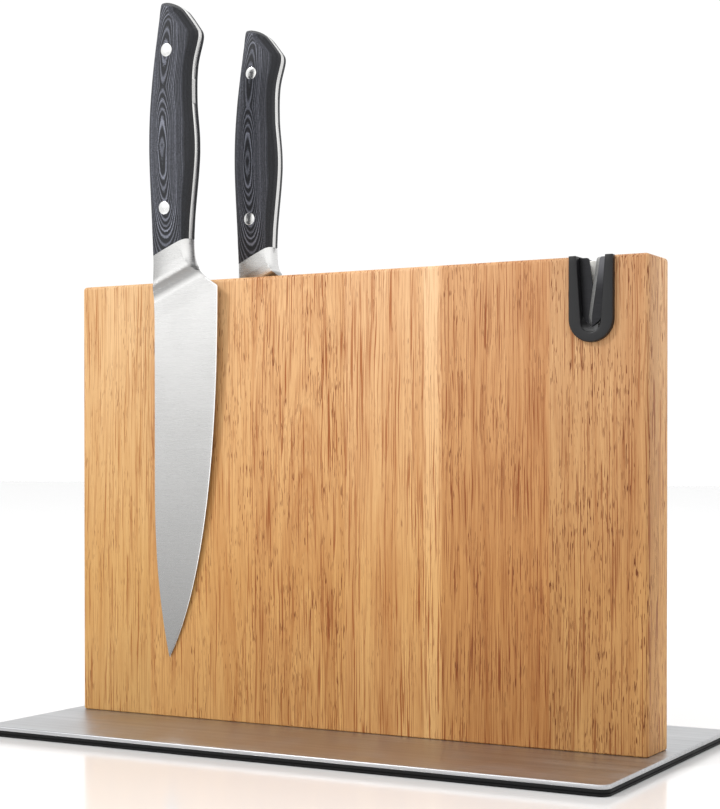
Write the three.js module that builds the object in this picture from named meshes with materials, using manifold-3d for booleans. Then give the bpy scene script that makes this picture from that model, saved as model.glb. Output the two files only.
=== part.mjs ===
// Double-sided magnetic knife block: a board of edge-glued staves on a steel base plate, with bar
// magnets behind both faces, a pull-through sharpener in a notch, and a knife on each face.
// Millimetres, +Z up, origin at the middle of the underside of the pad. -Y is the front.

import * as THREE from 'three';
import * as BufferGeometryUtils from 'three/addons/utils/BufferGeometryUtils.js';
import Module from 'manifold-3d';

const wasm = await Module();
wasm.setup();

// ---- Driving dimensions -------------------------------------------------------------------------

const GAP = 0.3; // clearance around a piece that sits in a pocket, a slot or a turned group
const PAST = 1; // how far a cutter runs past the face that it opens

const BASE = { width: 338, depth: 170, corner: 5, plate: 2, pad: 3.2 };
const PLATE_TOP = BASE.pad + BASE.plate;

const BOARD = { width: 323, thick: 28, height: 230, corner: 2.4, edge: 2 };
const HALF_THICK = BOARD.thick / 2;
const BOARD_TOP = PLATE_TOP + BOARD.height;
const FRONT_JOINTS = [-116, -52, 3, 57, 113]; // x of the glue joints, staves of random width
const REAR_JOINTS = [-108, -61, -6, 50, 104];

const MAGNET = { length: 60, thick: 10, height: 14, spacing: 78, rows: [90, 166], wood: 3 };
const MAGNETS_PER_ROW = 4;

const SCREW = { radius: 2, head: 4, length: 24, x: [-126, -42, 42, 126], y: 7 };

// The sharpener's profiles are U shapes drawn down from the top of the board.
const SHARPENER = {
  x: 134.3,
  proud: 3, // how far the flange stands out of the board's face
  flange: { top: 10.9, bottom: 10.9, depth: 40 },
  body: { top: 9.7, bottom: 9.7, depth: 38.8 },
  channel: { top: 7, bottom: 4.9, depth: 35.3 },
};
const STEEL_PLATE = { thick: 2, frontY: -15.2, top: -0.8, seat: 1 };
const PLATE_EDGE = { topX: 1.2, lowX: -1.8, lowZ: -28, toe: [0.6, -32.6], heel: [3.9, -30], wallZ: -26 };
const ROD = { radius: 2.2, y: 3.5, top: new THREE.Vector2(-4.4, -1.4), low: new THREE.Vector2(2, -36.4) };
const SHELL_SCREW = { radius: 1, head: 1.8, headDepth: 1.4, sink: 0.2, x: 7.8, z: -19, reach: 10 };

// The knife is drawn in its own frame: x from the spine's line to the edge, z up from the tip and
// y across, with y = 0 in the middle of the blade.
const BLADE = { length: 195, width: 39.5, tipX: 9.3, spine: 1.5, tipSpine: 0.6, edge: 0.12, pointWidth: 0.5 };
const SPINE_CURVE = { from: 95, power: 2.45 }; // the spine drops to the tip below this height
const EDGE_CURVE = [[BLADE.tipX, 0], [33.8, 45], [BLADE.width, 123], [BLADE.width, BLADE.length]]; // Bezier
const HEEL = [[35, 197.6], [29.2, 201.6], [26.8, 203.5]]; // above the edge the blade narrows to the bolster
const NECK_X = 0.4;
const TANG_HALF = 1.5;
const BOLSTER = { slope: 23.4, x: 3.1, z: 211.1 }; // the line where the scales meet the bolster
const BOLSTER_PROFILE = [[-18.8, 1.2], [-16.9, 1.9], [-15, 3.2], [-13.4, 4.4], [-7, 5.7], [0, 6.5]];
const SCALE = { thick: 6.3, edgeIn: 1.8, edgeDown: 4.5, low: 5, mid: 6.3, top: 4.9, midZ: 271, topZ: 344 };
const RIVET = { radius: 3.5, half: 7.5, sides: 24, upper: [12.5, 316.8], lower: [11, 235.6] };

const SPINE_SIDE = [[0, 186], [1.5, 206], [0.8, 228], [-0.9, 268], [0.8, 299], [5.8, 333]];
const BUTT = [[7.2, 341.4], [10.8, 342.6], [19, 338.4], [27, 328.6]];
const BELLY_SIDE = [
  [28.8, 323.4], [25.3, 309], [24.8, 291], [26.5, 264.5], [23.1, 228.5], [23.1, 211], [26.8, 203.4],
];

const KNIVES = {
  front: { x: -112.2, z: 37, side: -1, lean: 1.3, tilt: 0.94, scale: 1 },
  rear: { x: -77.4, z: 43.3, side: 1, lean: 1.45, tilt: -1.13, scale: 0.96 },
};
const TIP_STANDOFF = 0.9; // from the board's face to the middle of the blade at the tip

// ---- Materials ----------------------------------------------------------------------------------

function material(color, roughness, metalness) {
  return new THREE.MeshStandardMaterial({ color, roughness, metalness });
}

const woodMaterial = () => material(0xd9a878, 0.55, 0);
const steelMaterial = () => material(0xb9b6b0, 0.35, 1);
const polishedMaterial = () => material(0xd6d6d6, 0.2, 1);
const magnetMaterial = () => material(0x8d9196, 0.4, 1);
const plasticMaterial = () => material(0x2b2b2d, 0.55, 0);
const rubberMaterial = () => material(0x151515, 0.85, 0);
const ceramicMaterial = () => material(0xf1efe8, 0.4, 0);
const laminateMaterial = () => material(0x2a2c33, 0.6, 0);

// ---- Solids -------------------------------------------------------------------------------------

function toSolid(geometry) {
  const plain = geometry.clone();
  plain.deleteAttribute('normal');
  plain.deleteAttribute('uv');
  const merged = BufferGeometryUtils.mergeVertices(plain);
  return new wasm.Manifold(new wasm.Mesh({
    numProp: 3,
    vertProperties: merged.attributes.position.array,
    triVerts: Uint32Array.from(merged.index.array),
  }));
}

function toGeometry(solid) {
  const mesh = solid.getMesh();
  const geometry = new THREE.BufferGeometry();
  geometry.setAttribute('position', new THREE.BufferAttribute(mesh.vertProperties, 3));
  geometry.setIndex(new THREE.BufferAttribute(mesh.triVerts, 1));
  geometry.computeVertexNormals();
  return geometry;
}

function block(x, y, z) {
  const box = new THREE.BoxGeometry(x[1] - x[0], y[1] - y[0], z[1] - z[0]);
  return toSolid(box.translate((x[0] + x[1]) / 2, (y[0] + y[1]) / 2, (z[0] + z[1]) / 2));
}

// A shape drawn in X and Z, given a thickness from y[0] to y[1].
function upright(shape, y, options = {}) {
  const geometry = new THREE.ExtrudeGeometry(shape, { depth: y[1] - y[0], bevelEnabled: false, ...options });
  return toSolid(geometry.rotateX(Math.PI / 2).translate(0, y[1], 0));
}

function cylinderY(radius, x, y, z, sides) {
  const geometry = new THREE.CylinderGeometry(radius, radius, y[1] - y[0], sides);
  return toSolid(geometry.translate(0, (y[0] + y[1]) / 2, 0).translate(x, 0, z));
}

function turned(profile, x, y, sides) {
  const points = profile.map(([r, z]) => new THREE.Vector2(r, z));
  return toSolid(new THREE.LatheGeometry(points, sides).rotateX(Math.PI / 2).translate(x, y, 0));
}

function roundedRectangle(width, depth, radius) {
  const shape = new THREE.Shape();
  const x = width / 2 - radius;
  const y = depth / 2 - radius;
  shape.absarc(x, y, radius, 0, Math.PI / 2);
  shape.absarc(-x, y, radius, Math.PI / 2, Math.PI);
  shape.absarc(-x, -y, radius, Math.PI, 1.5 * Math.PI);
  shape.absarc(x, -y, radius, 1.5 * Math.PI, 2 * Math.PI);
  shape.closePath();
  return shape;
}

function place(parent, name, solid, finish) {
  const mesh = new THREE.Mesh(toGeometry(solid), finish);
  mesh.name = name;
  parent.add(mesh);
}

// ---- Base ---------------------------------------------------------------------------------------

const screwY = (index) => (index % 2 === 0 ? -SCREW.y : SCREW.y);

// Countersunk wood screw, head down, flush with the underside of the plate.
function screwProfile(clearance) {
  const head = SCREW.head + clearance;
  const shank = SCREW.radius + clearance;
  const tip = BASE.pad + SCREW.length + clearance;
  const below = clearance > 0 ? [[0, BASE.pad - clearance], [head, BASE.pad - clearance]] : [[0, BASE.pad]];
  return [
    ...below,
    [head, BASE.pad],
    [shank, BASE.pad + SCREW.head - SCREW.radius],
    [shank, tip - SCREW.radius],
    [0, tip],
  ];
}

const SCREW_SIDES = 16;
const RECESS = { length: 4, width: 0.9, depth: 1.2 };

function addBase(group) {
  const outline = roundedRectangle(BASE.width, BASE.depth, BASE.corner);
  const flat = { depth: BASE.pad, bevelEnabled: false, curveSegments: 5 };
  place(group, 'base_pad', toSolid(new THREE.ExtrudeGeometry(outline, flat)), rubberMaterial());

  const sheet = new THREE.ExtrudeGeometry(outline, { ...flat, depth: BASE.plate });
  let plate = toSolid(sheet.translate(0, 0, BASE.pad));
  SCREW.x.forEach((x, index) => {
    plate = plate.subtract(turned(screwProfile(GAP), x, screwY(index), SCREW_SIDES));
  });
  place(group, 'base_plate', plate, steelMaterial());

  SCREW.x.forEach((x, index) => {
    const y = screwY(index);
    let screw = turned(screwProfile(0), x, y, SCREW_SIDES);
    const long = RECESS.length / 2;
    const narrow = RECESS.width / 2;
    const z = [BASE.pad - PAST, BASE.pad + RECESS.depth];
    screw = screw.subtract(block([x - long, x + long], [y - narrow, y + narrow], z));
    screw = screw.subtract(block([x - narrow, x + narrow], [y - long, y + long], z));
    place(group, `base_screw_${index + 1}`, screw, polishedMaterial());
  });
}

// ---- Board --------------------------------------------------------------------------------------

// Each magnet's middle, as [x, z].
function magnetCentres() {
  const first = (-(MAGNETS_PER_ROW - 1) * MAGNET.spacing) / 2;
  return MAGNET.rows.flatMap((row) => Array.from(
    { length: MAGNETS_PER_ROW },
    (_, column) => [first + column * MAGNET.spacing, PLATE_TOP + row],
  ));
}

// The span in y of a magnet, or of the open-backed pocket that holds it, on one side of the board.
const magnetDepth = (side, back) => {
  const near = side * (HALF_THICK - MAGNET.wood);
  const far = side * back;
  return near < far ? [near, far] : [far, near];
};

function boardBlank() {
  const outline = roundedRectangle(BOARD.width, BOARD.thick, BOARD.corner);
  const geometry = new THREE.ExtrudeGeometry(outline, {
    depth: BOARD.height - 2 * BOARD.edge,
    bevelEnabled: true,
    bevelSize: BOARD.edge,
    bevelThickness: BOARD.edge,
    bevelOffset: -BOARD.edge,
    bevelSegments: 4,
    curveSegments: 4,
  });
  return toSolid(geometry.translate(0, 0, PLATE_TOP + BOARD.edge));
}

function addBoard(group) {
  let blank = boardBlank();
  const notch = uShape(widened(SHARPENER.body), BOARD.edge);
  blank = blank.subtract(upright(notch, [-BOARD.thick, BOARD.thick], SHARPENER_CURVE)
    .translate([SHARPENER.x, 0, BOARD_TOP]));
  SCREW.x.forEach((x, index) => {
    blank = blank.subtract(turned(screwProfile(GAP), x, screwY(index), SCREW_SIDES));
  });

  [['front', -1, FRONT_JOINTS], ['rear', 1, REAR_JOINTS]].forEach(([name, side, joints]) => {
    let half = blank;
    magnetCentres().forEach(([x, z], index) => {
      const length = MAGNET.length / 2;
      const height = MAGNET.height / 2;
      const pocket = [[x - length - GAP, x + length + GAP], [z - height - GAP, z + height + GAP]];
      half = half.subtract(block(pocket[0], magnetDepth(side, -PAST), pocket[1]));
      const bar = block([x - length, x + length], magnetDepth(side, 1), [z - height, z + height]);
      place(group, `${name}_magnet_${index + 1}`, bar, magnetMaterial());
    });
    const ends = [-BOARD.width / 2, ...joints, BOARD.width / 2];
    const depth = side < 0 ? [-HALF_THICK, 0] : [0, HALF_THICK];
    for (let i = 0; i < ends.length - 1; i += 1) {
      const stave = block([ends[i], ends[i + 1]], depth, [0, BOARD_TOP]).intersect(half);
      place(group, `${name}_stave_${i + 1}`, stave, woodMaterial());
    }
  });
}

// ---- Sharpener ----------------------------------------------------------------------------------

const SHARPENER_CURVE = { curveSegments: 14 };

const widened = ({ top, bottom, depth }) => ({ top: top + GAP, bottom: bottom + GAP, depth: depth + GAP });

// A U with straight sides and a half-round bottom, open upwards to the given rise.
function uShape({ top, bottom, depth }, rise = 0) {
  const centre = bottom - depth;
  const shape = new THREE.Shape();
  shape.moveTo(-top, rise);
  shape.lineTo(-bottom, centre);
  shape.absarc(0, centre, bottom, Math.PI, 2 * Math.PI);
  shape.lineTo(top, rise);
  shape.closePath();
  return shape;
}

// The plate that comes in from the right. Its working edge slopes across the middle.
function steelPlateShape(clearance) {
  const { topX, lowX, lowZ, toe, heel, wallZ } = PLATE_EDGE;
  const wall = STEEL_PLATE.seat + clearance;
  const shape = new THREE.Shape();
  shape.moveTo(topX - clearance, STEEL_PLATE.top + clearance);
  shape.lineTo(lowX - clearance, lowZ);
  shape.quadraticCurveTo(lowX - clearance, toe[1] - clearance, toe[0], toe[1] - clearance);
  shape.lineTo(heel[0] + clearance, heel[1] - clearance);
  shape.lineTo(SHARPENER.channel.bottom + wall, wallZ);
  shape.lineTo(SHARPENER.channel.top + wall, STEEL_PLATE.top + clearance);
  shape.closePath();
  return shape;
}

// side is 1 for the plate from the right and -1 for its mirror image, which lies just behind it.
function steelPlate(side, clearance) {
  const front = side > 0 ? STEEL_PLATE.frontY : STEEL_PLATE.frontY + STEEL_PLATE.thick + GAP;
  const depth = [front - clearance, front + STEEL_PLATE.thick + clearance];
  const solid = upright(steelPlateShape(clearance), depth, { curveSegments: 5 });
  return side > 0 ? solid : solid.mirror([1, 0, 0]);
}

// side is -1 for the rod in the front housing and 1 for its mirror image in the rear housing.
function ceramicRod(side, clearance) {
  const axis = new THREE.Vector2().subVectors(ROD.low, ROD.top);
  const middle = new THREE.Vector2().addVectors(ROD.low, ROD.top).multiplyScalar(0.5);
  const radius = ROD.radius + clearance;
  const rod = new THREE.CylinderGeometry(radius, radius, axis.length() + 2 * clearance, 16);
  rod.rotateX(Math.PI / 2);
  rod.rotateY(Math.atan2(-axis.x, -axis.y));
  rod.translate(middle.x, side * ROD.y, middle.y);
  const solid = toSolid(rod);
  return side < 0 ? solid : solid.mirror([1, 0, 0]);
}

function shellScrew(x, clearance) {
  const top = HALF_THICK + SHARPENER.proud - SHELL_SCREW.sink;
  const low = top - SHELL_SCREW.headDepth;
  const radius = SHELL_SCREW.radius + clearance;
  const shank = cylinderY(radius, x, [-SHELL_SCREW.reach - clearance, (top + low) / 2], SHELL_SCREW.z, 12);
  const head = [low - clearance, top + clearance];
  return shank.add(cylinderY(SHELL_SCREW.head + clearance, x, head, SHELL_SCREW.z, 16));
}

// side is -1 for the front housing, whose flange lies on the front face, and 1 for the rear one.
function housing(side) {
  const face = HALF_THICK + SHARPENER.proud;
  const flangeDepth = side < 0 ? [-face, -HALF_THICK] : [HALF_THICK, face];
  const bodyDepth = side < 0 ? [-HALF_THICK, 0] : [0, HALF_THICK];
  let shell = upright(uShape(SHARPENER.flange), flangeDepth, SHARPENER_CURVE);
  shell = shell.add(upright(uShape(SHARPENER.body), bodyDepth, SHARPENER_CURVE));
  const channel = uShape(SHARPENER.channel, PAST);
  shell = shell.subtract(upright(channel, [-face - PAST, face + PAST], SHARPENER_CURVE));
  shell = shell.subtract(ceramicRod(side, GAP));
  [-SHELL_SCREW.x, SHELL_SCREW.x].forEach((x) => {
    shell = shell.subtract(shellScrew(x, GAP));
  });
  if (side < 0) {
    shell = shell.subtract(steelPlate(1, GAP)).subtract(steelPlate(-1, GAP));
  }
  return shell;
}

function addSharpener(parent) {
  const group = new THREE.Group();
  group.position.set(SHARPENER.x, 0, BOARD_TOP);
  place(group, 'sharpener_front_housing', housing(-1), plasticMaterial());
  place(group, 'sharpener_rear_housing', housing(1), plasticMaterial());
  place(group, 'sharpening_plate_right', steelPlate(1, 0), steelMaterial());
  place(group, 'sharpening_plate_left', steelPlate(-1, 0), steelMaterial());
  place(group, 'ceramic_rod_left', ceramicRod(-1, 0), ceramicMaterial());
  place(group, 'ceramic_rod_right', ceramicRod(1, 0), ceramicMaterial());
  place(group, 'sharpener_screw_left', shellScrew(-SHELL_SCREW.x, 0), polishedMaterial());
  place(group, 'sharpener_screw_right', shellScrew(SHELL_SCREW.x, 0), polishedMaterial());
  parent.add(group);
}

// ---- Knife --------------------------------------------------------------------------------------

const toVectors = (points) => points.map(([x, z]) => new THREE.Vector2(x, z));

// A skin over rings that have the same number of points, closed at both ends.
function loft(rings) {
  const count = rings[0].length;
  const positions = rings.flat(2);
  const index = [];
  for (let ring = 0; ring < rings.length - 1; ring += 1) {
    for (let i = 0; i < count; i += 1) {
      const a = ring * count + i;
      const b = ring * count + ((i + 1) % count);
      index.push(a, b, b + count, a, b + count, a + count);
    }
  }
  const last = (rings.length - 1) * count;
  for (let i = 1; i < count - 1; i += 1) {
    index.push(0, i + 1, i, last, last + i, last + i + 1);
  }
  const geometry = new THREE.BufferGeometry();
  geometry.setAttribute('position', new THREE.Float32BufferAttribute(positions, 3));
  geometry.setIndex(index);
  return toSolid(geometry);
}

// Half the blade's thickness: a flat taper from the spine to the edge, thinner towards the tip.
function halfThickness(x, z, edgeX) {
  const spine = THREE.MathUtils.lerp(BLADE.tipSpine, BLADE.spine, Math.min(z / BLADE.length, 1));
  return THREE.MathUtils.lerp(spine, BLADE.edge, THREE.MathUtils.clamp(x / edgeX, 0, 1));
}

function bladeRing(left, right, edgeX) {
  const thin = halfThickness(right[0], right[1], edgeX);
  const thick = halfThickness(0, left[1], edgeX);
  return [
    [left[0], -thick, left[1]],
    [right[0], -thin, right[1]],
    [right[0], thin, right[1]],
    [left[0], thick, left[1]],
  ];
}

const BLADE_ROWS = 22;

function blade() {
  const edge = new THREE.CubicBezierCurve(...toVectors(EDGE_CURVE));
  const rings = [];
  for (let row = 0; row <= BLADE_ROWS; row += 1) {
    const point = edge.getPoint(row / BLADE_ROWS);
    const drop = Math.max(1 - point.y / SPINE_CURVE.from, 0) ** SPINE_CURVE.power;
    const spineX = BLADE.tipX * drop;
    const edgeX = Math.max(point.x, spineX + BLADE.pointWidth);
    rings.push(bladeRing([spineX, point.y], [edgeX, point.y], edgeX));
  }
  HEEL.forEach(([x, z]) => {
    rings.push(bladeRing([NECK_X, z], [x, z], BLADE.width));
  });
  return loft(rings);
}

// The outline of bolster and handle, from below the bolster up to the butt.
function handleShape() {
  const shape = new THREE.Shape();
  shape.moveTo(...SPINE_SIDE[0]);
  shape.splineThru(toVectors(SPINE_SIDE.slice(1)));
  shape.splineThru(toVectors(BUTT));
  shape.splineThru(toVectors(BELLY_SIDE));
  shape.lineTo(BELLY_SIDE[BELLY_SIDE.length - 1][0] - 2, SPINE_SIDE[0][1]);
  shape.closePath();
  return shape;
}

const HANDLE_CURVE = { curveSegments: 3 };

// The frame of the slanted line between bolster and scales: x across the knife, y up along the
// handle and z along the line.
function bolsterFrame() {
  const slope = THREE.MathUtils.degToRad(BOLSTER.slope);
  const along = new THREE.Vector3(Math.cos(slope), 0, Math.sin(slope));
  const up = new THREE.Vector3(-Math.sin(slope), 0, Math.cos(slope));
  const frame = new THREE.Matrix4().makeBasis(new THREE.Vector3(0, 1, 0), up, along);
  return frame.setPosition(BOLSTER.x, 0, BOLSTER.z);
}

const SLAB = 60; // longer than any piece that a slanted slab cuts or crosses

// A profile across the knife, drawn as [height, half thickness], swept along the bolster's line.
function slantedSlab(profile) {
  const shape = new THREE.Shape();
  const outline = [...profile, ...profile.slice().reverse().map(([z, y]) => [z, -y])];
  shape.setFromPoints(outline.map(([z, y]) => new THREE.Vector2(y, z)));
  const geometry = new THREE.ExtrudeGeometry(shape, { depth: 2 * SLAB, bevelEnabled: false });
  return toSolid(geometry.translate(0, 0, -SLAB).applyMatrix4(bolsterFrame()));
}

function rivet(centre, clearance) {
  const half = RIVET.half + (clearance > 0 ? SLAB : 0);
  return cylinderY(RIVET.radius + clearance, centre[0], [-half, half], centre[1], RIVET.sides);
}

function forging() {
  const outline = handleShape();
  const lowest = BOLSTER_PROFILE[0][0];
  const thickest = SCALE.thick + TANG_HALF + PAST;
  const bar = upright(outline, [-thickest, thickest], HANDLE_CURVE);
  const bolster = bar.intersect(slantedSlab(BOLSTER_PROFILE));
  const aboveBlade = slantedSlab([[lowest, thickest], [4 * SLAB, thickest]]);
  const tang = upright(outline, [-TANG_HALF, TANG_HALF], HANDLE_CURVE).intersect(aboveBlade);
  return blade().add(bolster).add(tang)
    .subtract(rivet(RIVET.upper, GAP))
    .subtract(rivet(RIVET.lower, GAP));
}

// The crowned profile of both scales, seen from the edge of the knife.
function crownShape() {
  const inner = TANG_HALF;
  const lowZ = BOLSTER.z - SCALE.thick;
  const crown = new THREE.SplineCurve([
    new THREE.Vector2(inner + SCALE.low, lowZ),
    new THREE.Vector2(inner + SCALE.mid, SCALE.midZ),
    new THREE.Vector2(inner + SCALE.top, SCALE.topZ),
  ]).getPoints(8);
  const shape = new THREE.Shape();
  shape.setFromPoints([...crown, new THREE.Vector2(0, SCALE.topZ), new THREE.Vector2(0, lowZ)]);
  return shape;
}

// side is -1 for the scale on the knife's -y side and 1 for the other.
function scale(side) {
  const cover = upright(handleShape(), [0, 2 * (SCALE.thick + TANG_HALF - SCALE.edgeDown)], {
    ...HANDLE_CURVE,
    bevelEnabled: true,
    bevelSize: SCALE.edgeIn,
    bevelThickness: SCALE.edgeDown,
    bevelOffset: -SCALE.edgeIn,
    bevelSegments: 3,
  }).translate([0, -(SCALE.thick + TANG_HALF - SCALE.edgeDown), 0]);
  const crown = new THREE.ExtrudeGeometry(crownShape(), { depth: 2 * SLAB, bevelEnabled: false });
  crown.rotateX(Math.PI / 2).rotateZ(Math.PI / 2).translate(-SLAB, 0, 0);
  const aboveBolster = slantedSlab([[GAP, SLAB], [4 * SLAB, SLAB]]);
  const offTang = block([-SLAB, SLAB], [TANG_HALF + GAP, SLAB], [0, 2 * BLADE.length]);
  const solid = cover.intersect(toSolid(crown)).intersect(aboveBolster).intersect(offTang)
    .subtract(rivet(RIVET.upper, GAP))
    .subtract(rivet(RIVET.lower, GAP));
  return side > 0 ? solid : solid.mirror([0, 1, 0]);
}

function addKnife(parent, name) {
  const knife = KNIVES[name];
  const group = new THREE.Group();
  group.position.set(knife.x, knife.side * (HALF_THICK + TIP_STANDOFF), knife.z);
  group.rotation.set(
    -knife.side * THREE.MathUtils.degToRad(knife.lean),
    THREE.MathUtils.degToRad(knife.tilt),
    0,
  );
  group.scale.setScalar(knife.scale);
  place(group, `${name}_knife_blade`, forging(), polishedMaterial());
  place(group, `${name}_knife_outer_scale`, scale(knife.side), laminateMaterial());
  place(group, `${name}_knife_inner_scale`, scale(-knife.side), laminateMaterial());
  place(group, `${name}_knife_upper_rivet`, rivet(RIVET.upper, 0), polishedMaterial());
  place(group, `${name}_knife_lower_rivet`, rivet(RIVET.lower, 0), polishedMaterial());
  parent.add(group);
}

// ---- Assembly -----------------------------------------------------------------------------------

const knifeBlock = new THREE.Group();
addBase(knifeBlock);
addBoard(knifeBlock);
addSharpener(knifeBlock);
addKnife(knifeBlock, 'front');
addKnife(knifeBlock, 'rear');

export default knifeBlock;
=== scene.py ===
"""Looks of the magnetic knife block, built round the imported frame. Lengths are in millimetres, and meshes
are scaled to metres as they are made."""

import math

import bmesh
import bpy
import numpy as np
from mathutils import Matrix, Vector


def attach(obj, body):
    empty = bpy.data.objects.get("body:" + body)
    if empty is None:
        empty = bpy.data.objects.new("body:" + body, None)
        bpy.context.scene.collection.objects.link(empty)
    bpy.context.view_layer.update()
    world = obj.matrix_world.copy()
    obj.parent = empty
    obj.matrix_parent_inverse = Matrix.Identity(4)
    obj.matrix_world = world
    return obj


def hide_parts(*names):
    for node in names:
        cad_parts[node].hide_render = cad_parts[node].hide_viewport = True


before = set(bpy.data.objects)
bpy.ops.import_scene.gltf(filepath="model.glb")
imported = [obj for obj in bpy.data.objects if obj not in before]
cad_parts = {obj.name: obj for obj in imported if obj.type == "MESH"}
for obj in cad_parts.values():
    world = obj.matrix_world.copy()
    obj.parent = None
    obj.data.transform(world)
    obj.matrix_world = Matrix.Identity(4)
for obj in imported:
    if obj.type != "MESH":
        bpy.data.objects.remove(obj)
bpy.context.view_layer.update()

MM = 0.001

# ---- Dimensions shared with the CAD source ----

BASE = {"width": 338.0, "depth": 170.0, "corner": 5.0, "pad": 3.2, "top": 5.2}
BOARD = {"width": 323.0, "thick": 28.0, "low": 5.2, "top": 235.2, "corner": 2.4, "edge": 2.0}
HALF = BOARD["thick"] / 2
FRONT_JOINTS = (-116.0, -52.0, 3.0, 57.0, 113.0)
REAR_JOINTS = (-108.0, -61.0, -6.0, 50.0, 104.0)
MAGNETS = {"x": (-117.0, -39.0, 39.0, 117.0), "z": (95.2, 171.2), "length": 60.0, "height": 14.0, "wall": 3.0}
SCREWS = ((-126.0, -7.0), (-42.0, 7.0), (42.0, -7.0), (126.0, 7.0))
BASE_SCREW = {"head": 4.0, "shank": 2.0, "tip": 27.2}
GAP = 0.3
SHARPENER = {"x": 134.3, "face": 17.0, "centre": -29.1, "flange": 10.9, "body": 9.7}
CHANNEL = {"top": 7.0, "bottom": 4.9, "centre": -30.4}
ROD = {"radius": 2.2, "top": (4.4, 0.0, -1.4), "low": (-2.0, 0.0, -36.4), "y": 3.5, "bevel": 0.4}
HOUSING_SCREW = {"x": 7.8, "z": -19.0, "slot": 1.1, "slot_half": 0.25, "slot_floor": 16.1}
KNIVES = {
    "front": {"x": -112.2, "z": 37.0, "side": -1, "lean": 1.3, "tilt": 0.94, "scale": 1.0},
    "rear": {"x": -77.4, "z": 43.3, "side": 1, "lean": 1.45, "tilt": -1.13, "scale": 0.96},
}
TIP_STANDOFF = 0.9
# Half the thickness of the tang.
TANG = 1.5
# The slanted joint of bolster and scales, in the knife's own frame.
JOINT = {"x": 3.1, "z": 211.1, "slope": math.tan(math.radians(23.4))}
# The thickness of one sheet of the laminate.
LAYER = 0.16

# ---- Mesh helpers ----


def new_piece(name, verts, faces, materials, matrix=None, face_materials=None):
    """A linked object from points in millimetres, with its faces turned outwards."""
    mesh = bpy.data.meshes.new(name)
    mesh.from_pydata([tuple(float(c) * MM for c in v) for v in verts], [], faces)
    for material in materials:
        mesh.materials.append(material)
    if face_materials:
        for polygon, index in zip(mesh.polygons, face_materials):
            polygon.material_index = index
    tidy_mesh(mesh)
    piece = bpy.data.objects.new(name, mesh)
    bpy.context.scene.collection.objects.link(piece)
    if matrix is not None:
        piece.matrix_world = matrix
    return piece


def tidy_mesh(mesh):
    """Merges points that coincide and turns the faces outwards."""
    work = bmesh.new()
    work.from_mesh(mesh)
    bmesh.ops.remove_doubles(work, verts=work.verts, dist=1e-6)
    bmesh.ops.dissolve_degenerate(work, edges=work.edges, dist=1e-7)
    bmesh.ops.recalc_face_normals(work, faces=work.faces)
    work.to_mesh(mesh)
    work.free()


def carve(piece, cutters):
    """Cuts the cutters' shapes out of a piece."""
    for cutter in cutters:
        modifier = piece.modifiers.new("carve", "BOOLEAN")
        modifier.operation = "DIFFERENCE"
        modifier.solver = "EXACT"
        modifier.object = cutter
    graph = bpy.context.evaluated_depsgraph_get()
    mesh = bpy.data.meshes.new_from_object(piece.evaluated_get(graph))
    piece.modifiers.clear()
    piece.data = mesh


def discard(*pieces):
    for piece in pieces:
        bpy.data.objects.remove(piece)


def finish_piece(piece, body, nodes, sharp=32.0):
    """Shades a piece, puts it under its body's empty and hides the CAD nodes it replaces. sharp is in
    degrees.
    """
    piece.data.shade_smooth()
    piece.data.set_sharp_from_angle(angle=math.radians(sharp))
    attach(piece, body)
    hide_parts(*nodes)


def loft(rings, caps=True):
    """Points and faces of a skin over rings with the same number of points."""
    count = len(rings[0])
    verts = [point for ring in rings for point in ring]
    faces = []
    for row in range(len(rings) - 1):
        for i in range(count):
            a, b = row * count + i, row * count + (i + 1) % count
            faces.append((a, b, b + count, a + count))
    if caps:
        faces.append(tuple(range(count))[::-1])
        faces.append(tuple(range((len(rings) - 1) * count, len(rings) * count)))
    return verts, faces


def rounded_rectangle(width, depth, radius, steps):
    radius = max(radius, 0.05)
    points = []
    for quarter, (sx, sy) in enumerate(((1, 1), (-1, 1), (-1, -1), (1, -1))):
        for step in range(steps + 1):
            angle = math.pi / 2 * (quarter + step / steps)
            x = sx * (width / 2 - radius) + radius * math.cos(angle)
            y = sy * (depth / 2 - radius) + radius * math.sin(angle)
            points.append((x, y))
    return points


def edge_steps(radius, steps):
    """(inset, height) down from a rounded edge's top to where its side begins."""
    angles = [math.pi / 2 * i / steps for i in range(steps + 1)]
    return [(radius * (1 - math.sin(a)), radius * (1 - math.cos(a))) for a in angles]


def slab(width, depth, corner, profile, corner_steps=8):
    """A rounded rectangle carried up a profile of (inset, z)."""
    rings = []
    for inset, z in profile:
        outline = rounded_rectangle(width - 2 * inset, depth - 2 * inset, corner - inset, corner_steps)
        rings.append([(x, y, z) for x, y in outline])
    return loft(rings)


def pointed(verts, faces, steps, ends):
    """Closes the first and the last ring of a skin with a point each."""
    last = len(verts) - steps
    for point, ring, flip in ((ends[0], 0, True), (ends[1], last, False)):
        verts.append(point)
        for i in range(steps):
            pair = (ring + i, ring + (i + 1) % steps)
            faces.append((*(pair[::-1] if flip else pair), len(verts) - 1))
    return verts, faces


def lathe(profile, steps):
    """A solid turned about Z from (radius, z), first and last radius 0."""
    angles = [2 * math.pi * i / steps for i in range(steps)]
    rings = [[(r * math.cos(a), r * math.sin(a), z) for a in angles] for r, z in profile[1:-1]]
    ends = [(0.0, 0.0, z) for z in (profile[0][1], profile[-1][1])]
    return pointed(*loft(rings, caps=False), steps, ends)


def box_mesh(x, y, z):
    verts = [(i, j, k) for i in x for j in y for k in z]
    faces = [(0, 1, 3, 2), (4, 6, 7, 5), (0, 4, 5, 1), (2, 3, 7, 6), (0, 2, 6, 4), (1, 5, 7, 3)]
    return verts, faces


def moved(verts, matrix):
    return [tuple(matrix @ Vector(v)) for v in verts]


def joined(parts):
    """Several meshes as one."""
    verts, faces = [], []
    for part_verts, part_faces in parts:
        faces.extend(tuple(i + len(verts) for i in face) for face in part_faces)
        verts.extend(part_verts)
    return verts, faces


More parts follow.
